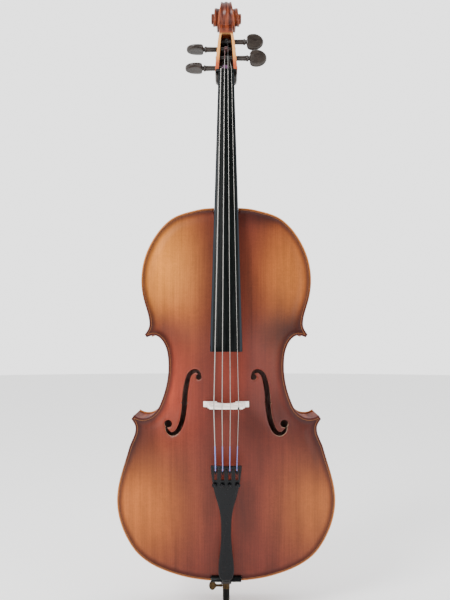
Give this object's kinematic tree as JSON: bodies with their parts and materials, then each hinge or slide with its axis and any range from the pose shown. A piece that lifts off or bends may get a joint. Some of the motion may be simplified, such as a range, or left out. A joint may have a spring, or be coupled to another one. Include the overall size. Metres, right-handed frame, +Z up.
{
  "type": "cello",
  "caption": "Arched-top bowed string instrument held between the knees, with f-holes, scroll, pegs, bridge, tailpiece with fine tuners and a sliding endpin.",
  "frame": {"origin": "centre of the worn flat end of the endpin's steel point, with the rod pushed fully in", "axes": "+Z up along the body towards the scroll, -Y out of the belly towards the strings, +X towards the treble side; x = 0 is the centre plane and y = 0 the middle of the ribs' depth"},
  "size_m": [0.442, 0.2633, 1.275],
  "materials": {
    "belly_varnish": "satin red-brown varnish over straight-grained spruce",
    "maple_varnish": "satin red-brown varnish over flamed maple",
    "inner_wood": "bare",
    "ebony": "oiled, satin",
    "peg_wood": "polished dark wood",
    "bridge_wood": "bare pale maple",
    "string_steel": "fine flat winding, silk at both ends",
    "tuner_metal": "blackened",
    "composite": "satin black",
    "tail_cord": "black cord",
    "dark_brass": "aged",
    "rod_steel": "polished steel",
    "rubber": "matt black"
  },
  "bodies": {
    "instrument": {"top_plate": "belly_varnish", "back_plate": "maple_varnish", "lower_rib_treble": "maple_varnish", "lower_rib_bass": "maple_varnish", "centre_rib_treble": "maple_varnish", "centre_rib_bass": "maple_varnish", "upper_rib_treble": "maple_varnish", "upper_rib_bass": "maple_varnish", "lower_lining_front_treble": "inner_wood", "lower_lining_back_treble": "inner_wood", "lower_lining_front_bass": "inner_wood", "lower_lining_back_bass": "inner_wood", "centre_lining_front_treble": "inner_wood", "centre_lining_back_treble": "inner_wood", "centre_lining_front_bass": "inner_wood", "centre_lining_back_bass": "inner_wood", "upper_lining_front_treble": "inner_wood", "upper_lining_back_treble": "inner_wood", "upper_lining_front_bass": "inner_wood", "upper_lining_back_bass": "inner_wood", "lower_corner_block_treble": "inner_wood", "lower_corner_block_bass": "inner_wood", "upper_corner_block_treble": "inner_wood", "upper_corner_block_bass": "inner_wood", "end_block": "inner_wood", "neck_block": "inner_wood", "bass_bar": "inner_wood", "sound_post": "inner_wood", "neck": "maple_varnish", "fingerboard": "ebony", "nut": "ebony", "saddle": "ebony", "bridge": "bridge_wood", "string_c": "string_steel", "string_g": "string_steel", "string_d": "string_steel", "string_a": "string_steel", "string_sleeve": "rubber", "tailpiece": "composite", "tuner_pivot_rod": "tuner_metal", "tailgut": "tail_cord", "endpin_collar": "peg_wood", "endpin_ferrule": "dark_brass"},
    "c_peg": {"peg_c": "peg_wood"},
    "g_peg": {"peg_g": "peg_wood"},
    "d_peg": {"peg_d": "peg_wood"},
    "a_peg": {"peg_a": "peg_wood"},
    "c_tuner_screw": {"tuner_screw_c": "tuner_metal"},
    "g_tuner_screw": {"tuner_screw_g": "tuner_metal"},
    "d_tuner_screw": {"tuner_screw_d": "tuner_metal"},
    "a_tuner_screw": {"tuner_screw_a": "tuner_metal"},
    "c_tuner_lever": {"tuner_lever_c": "tuner_metal"},
    "g_tuner_lever": {"tuner_lever_g": "tuner_metal"},
    "d_tuner_lever": {"tuner_lever_d": "tuner_metal"},
    "a_tuner_lever": {"tuner_lever_a": "tuner_metal"},
    "endpin": {"endpin_rod": "rod_steel", "rubber_foot": "rubber"},
    "clamp": {"clamp_screw": "dark_brass"}
  },
  "joints": [
    {"name": "c_peg_turn", "type": "hinge", "parent": "instrument", "child": "c_peg", "pos_m": [0, -0.022, 1.112], "axis": [1, 0, 0], "continuous": true},
    {"name": "g_peg_turn", "type": "hinge", "parent": "instrument", "child": "g_peg", "pos_m": [0, 0.0045, 1.16], "axis": [1, 0, 0], "continuous": true},
    {"name": "d_peg_turn", "type": "hinge", "parent": "instrument", "child": "d_peg", "pos_m": [0, 0.019, 1.181], "axis": [1, 0, 0], "continuous": true},
    {"name": "a_peg_turn", "type": "hinge", "parent": "instrument", "child": "a_peg", "pos_m": [0, -0.011, 1.1365], "axis": [1, 0, 0], "continuous": true},
    {"name": "c_tuner_turn", "type": "hinge", "parent": "instrument", "child": "c_tuner_screw", "pos_m": [-0.0233, -0.12886, 0.27], "axis": [0, -0.9752, -0.2213], "range_deg": [0, 2880]},
    {"name": "g_tuner_turn", "type": "hinge", "parent": "instrument", "child": "g_tuner_screw", "pos_m": [-0.0076, -0.1329, 0.27], "axis": [0, -0.9752, -0.2213], "range_deg": [0, 2880]},
    {"name": "d_tuner_turn", "type": "hinge", "parent": "instrument", "child": "d_tuner_screw", "pos_m": [0.0076, -0.1329, 0.27], "axis": [0, -0.9752, -0.2213], "range_deg": [0, 2880]},
    {"name": "a_tuner_turn", "type": "hinge", "parent": "instrument", "child": "a_tuner_screw", "pos_m": [0.0233, -0.12886, 0.27], "axis": [0, -0.9752, -0.2213], "range_deg": [0, 2880]},
    {"name": "c_lever_rock", "type": "hinge", "parent": "instrument", "child": "c_tuner_lever", "pos_m": [-0.0207, -0.13198, 0.2947], "axis": [1, 0, 0], "range_deg": [0, 12]},
    {"name": "g_lever_rock", "type": "hinge", "parent": "instrument", "child": "g_tuner_lever", "pos_m": [-0.0069, -0.13198, 0.2947], "axis": [1, 0, 0], "range_deg": [0, 12]},
    {"name": "d_lever_rock", "type": "hinge", "parent": "instrument", "child": "d_tuner_lever", "pos_m": [0.0069, -0.13198, 0.2947], "axis": [1, 0, 0], "range_deg": [0, 12]},
    {"name": "a_lever_rock", "type": "hinge", "parent": "instrument", "child": "a_tuner_lever", "pos_m": [0.0207, -0.13198, 0.2947], "axis": [1, 0, 0], "range_deg": [0, 12]},
    {"name": "endpin_slide", "type": "slide", "parent": "instrument", "child": "endpin", "axis": [0, 0, -1], "range_m": [0, 0.35]},
    {"name": "clamp_turn", "type": "hinge", "parent": "instrument", "child": "clamp", "pos_m": [0, 0, 0.034], "axis": [-1, 0, 0], "range_deg": [0, 720]}
  ],
  "couplings": [
    {"joint": "c_tuner_turn", "follows": "c_lever_rock", "ratio": 240},
    {"joint": "g_tuner_turn", "follows": "g_lever_rock", "ratio": 240},
    {"joint": "d_tuner_turn", "follows": "d_lever_rock", "ratio": 240},
    {"joint": "a_tuner_turn", "follows": "a_lever_rock", "ratio": 240}
  ]
}
